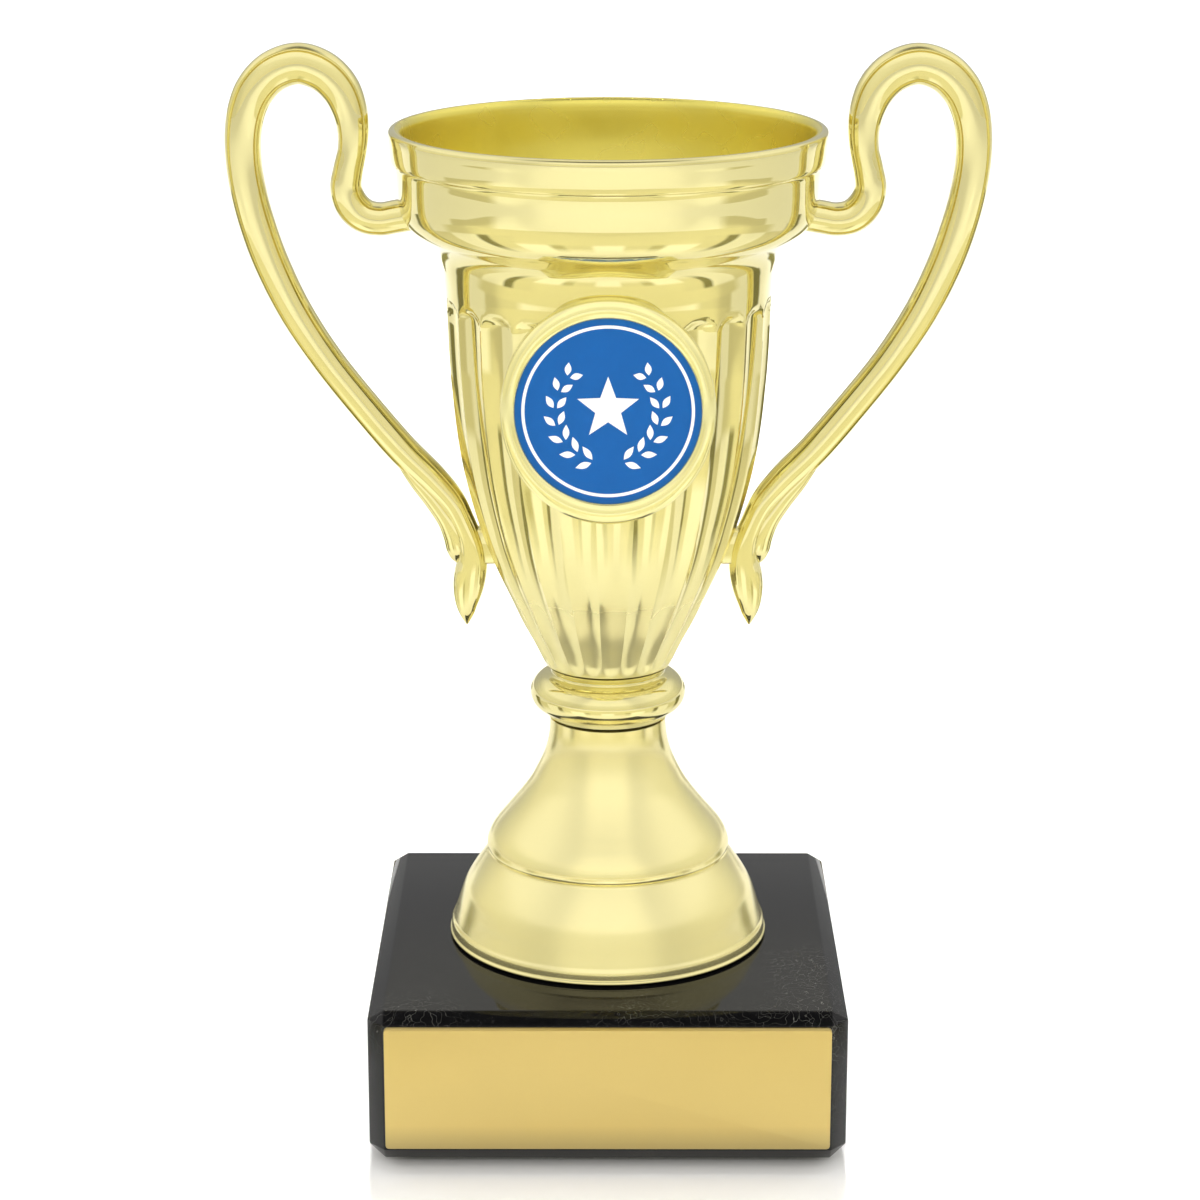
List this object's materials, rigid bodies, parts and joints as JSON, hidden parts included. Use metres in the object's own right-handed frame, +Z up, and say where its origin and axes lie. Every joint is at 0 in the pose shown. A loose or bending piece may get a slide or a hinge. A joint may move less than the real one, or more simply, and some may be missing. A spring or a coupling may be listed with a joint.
{
  "type": "cup trophy",
  "caption": "Small presentation cup: fluted gold cup with scroll handles and a round front insert, on a flared foot and a chamfered black marble block with a gold engraving plate.",
  "frame": {"origin": "centre of the underside of the felt, on the cup's axis", "axes": "+Z up along the cup's axis; -Y out of the front, where the insert and the plate are; +X to the right seen from the front"},
  "size_m": [0.095, 0.0609, 0.1374],
  "materials": {
    "gold_foil_plastic": "mirror-bright gold vacuum-metallised moulded plastic",
    "gold_foil_foot": "gold vacuum-metallised moulded plastic, slightly softer gloss",
    "gold_foil_holder": "gold vacuum-metallised moulded plastic",
    "black_marble": "polished black with faint pale veins",
    "black_felt": "self-adhesive felt",
    "gold_aluminium": "gold satin anodised sheet",
    "clear_tape": "double-sided adhesive tape",
    "blue_print": "blue printed disc with a thin white ring, a plain white star and two white laurel sprays",
    "zinc_steel": "bright zinc plate"
  },
  "bodies": {
    "root": {"base_felt": "black_felt", "marble_base": "black_marble", "engraving_plate": "gold_aluminium", "plate_adhesive": "clear_tape", "stem_foot": "gold_foil_foot", "collar_ring": "gold_foil_plastic", "cup_bowl": "gold_foil_plastic", "handle_left": "gold_foil_plastic", "handle_right": "gold_foil_plastic", "insert_holder": "gold_foil_holder", "insert_adhesive": "clear_tape", "insert_disc": "blue_print", "tie_rod": "zinc_steel", "bowl_washer": "zinc_steel", "bowl_nut": "zinc_steel", "base_washer": "zinc_steel", "base_lock_washer": "zinc_steel", "base_nut": "zinc_steel"}
  },
  "joints": []
}
